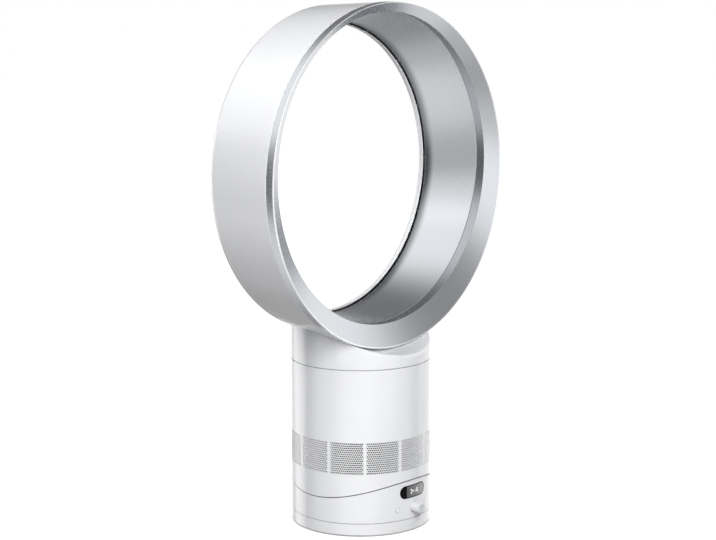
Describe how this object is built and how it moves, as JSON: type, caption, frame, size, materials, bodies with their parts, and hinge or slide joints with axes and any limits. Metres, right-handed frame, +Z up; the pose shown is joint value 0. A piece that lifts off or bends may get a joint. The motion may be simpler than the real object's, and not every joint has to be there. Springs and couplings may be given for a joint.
{
  "type": "bladeless fan",
  "caption": "Desk bladeless fan: tall silver-lined air loop on a round white column with a perforated inlet band, display, speed knob, tilt and oscillating foot.",
  "frame": {"origin": "centre of the rubber pad's underside, on the column's axis, on the surface that the fan stands on", "axes": "+Z up along the column, air leaves the loop along -Y, +X to the right seen from the front"},
  "size_m": [0.3486, 0.1566, 0.5367],
  "materials": {
    "white_gloss": "gloss white moulding",
    "silver_paint": "satin silver paint with fine metallic flake",
    "window_black": "gloss black window",
    "rubber_black": "matt",
    "steel": "zinc plated",
    "acetal": "natural",
    "dark_plastic": "fine satin texture",
    "board_green": "solder resist",
    "brass": "turned",
    "foam": "open-cell foam",
    "copper_core": "laminated core with varnished windings"
  },
  "bodies": {
    "foot": {"rubber_foot": "rubber_black", "base_plate": "steel", "foot_shell": "white_gloss", "foot_screws": "steel", "centre_post": "acetal", "fixed_gear": "acetal", "turntable_glide": "acetal", "turntable_washer": "steel", "cord_gland": "rubber_black", "terminal_block": "acetal"},
    "control": {"control_housing": "white_gloss", "turntable_bush": "acetal", "saddle_plate": "dark_plastic", "saddle_screws": "steel", "tilt_glides": "acetal", "oscillation_motor": "steel", "control_board": "board_green", "board_parts": "dark_plastic", "display_board": "board_green", "display_module": "dark_plastic", "display_window": "window_black", "knob_encoder": "dark_plastic", "power_switch": "dark_plastic", "button_switches": "dark_plastic"},
    "pinion": {"oscillation_pinion": "acetal"},
    "knob": {"speed_knob": "white_gloss"},
    "cap": {"power_cap": "white_gloss"},
    "left_push": {"left_button": "white_gloss"},
    "right_push": {"right_button": "white_gloss"},
    "column": {"upper_housing": "white_gloss", "inlet_screen": "white_gloss", "rocker_plate": "dark_plastic", "tilt_keepers": "dark_plastic", "keeper_screws": "steel", "drive_board": "board_green", "drive_parts": "dark_plastic", "silencer_foam": "foam", "isolator_ring": "rubber_black", "impeller_shroud": "dark_plastic", "motor_bucket": "dark_plastic", "bucket_cap": "dark_plastic", "stator": "copper_core", "lower_bearing": "steel", "upper_bearing": "steel", "diffuser": "dark_plastic", "duct_seal": "rubber_black", "locking_ring": "acetal", "locking_screws": "steel", "neck_gasket": "rubber_black"},
    "rotor": {"impeller": "dark_plastic", "motor_shaft": "steel", "motor_rotor": "copper_core", "impeller_nut": "brass"},
    "loop": {"loop_neck": "white_gloss", "loop_shell": "white_gloss", "loop_duct": "silver_paint", "front_flare": "silver_paint", "slot_spacers": "silver_paint"}
  },
  "joints": [
    {"name": "oscillation", "type": "hinge", "parent": "foot", "child": "control", "pos_m": [0, 0, 0.0133], "axis": [0, 0, 1], "range_deg": [-45, 45]},
    {"name": "pinion_spin", "type": "hinge", "parent": "control", "child": "pinion", "pos_m": [0, 0.042, 0.0105], "axis": [0, 0, 1], "range_deg": [-226, 226]},
    {"name": "tilt", "type": "hinge", "parent": "control", "child": "column", "pos_m": [0, 0, 0.2142], "axis": [1, 0, 0], "range_deg": [-10, 10]},
    {"name": "loop_lock", "type": "hinge", "parent": "column", "child": "loop", "pos_m": [0, 0, 0.1722], "axis": [0, 0, 1], "range_deg": [0, 15]},
    {"name": "impeller_spin", "type": "hinge", "parent": "column", "child": "rotor", "pos_m": [0, 0, 0.12], "axis": [0, 0, 1], "continuous": true},
    {"name": "knob_turn", "type": "hinge", "parent": "control", "child": "knob", "pos_m": [0, -0.0725, 0.0246], "axis": [0, 1, 0], "continuous": true},
    {"name": "cap_press", "type": "slide", "parent": "knob", "child": "cap", "axis": [0, 1, 0], "range_m": [0, 0.0008], "stiffness_N_per_m": 400, "springref_m": -0.001},
    {"name": "left_press", "type": "slide", "parent": "control", "child": "left_push", "axis": [0.2957, 0.9553, 0], "range_m": [0, 0.0008], "stiffness_N_per_m": 400, "springref_m": -0.001},
    {"name": "right_press", "type": "slide", "parent": "control", "child": "right_push", "axis": [-0.2957, 0.9553, 0], "range_m": [0, 0.0008], "stiffness_N_per_m": 400, "springref_m": -0.001}
  ],
  "couplings": [
    {"joint": "pinion_spin", "follows": "oscillation", "ratio": 5}
  ]
}
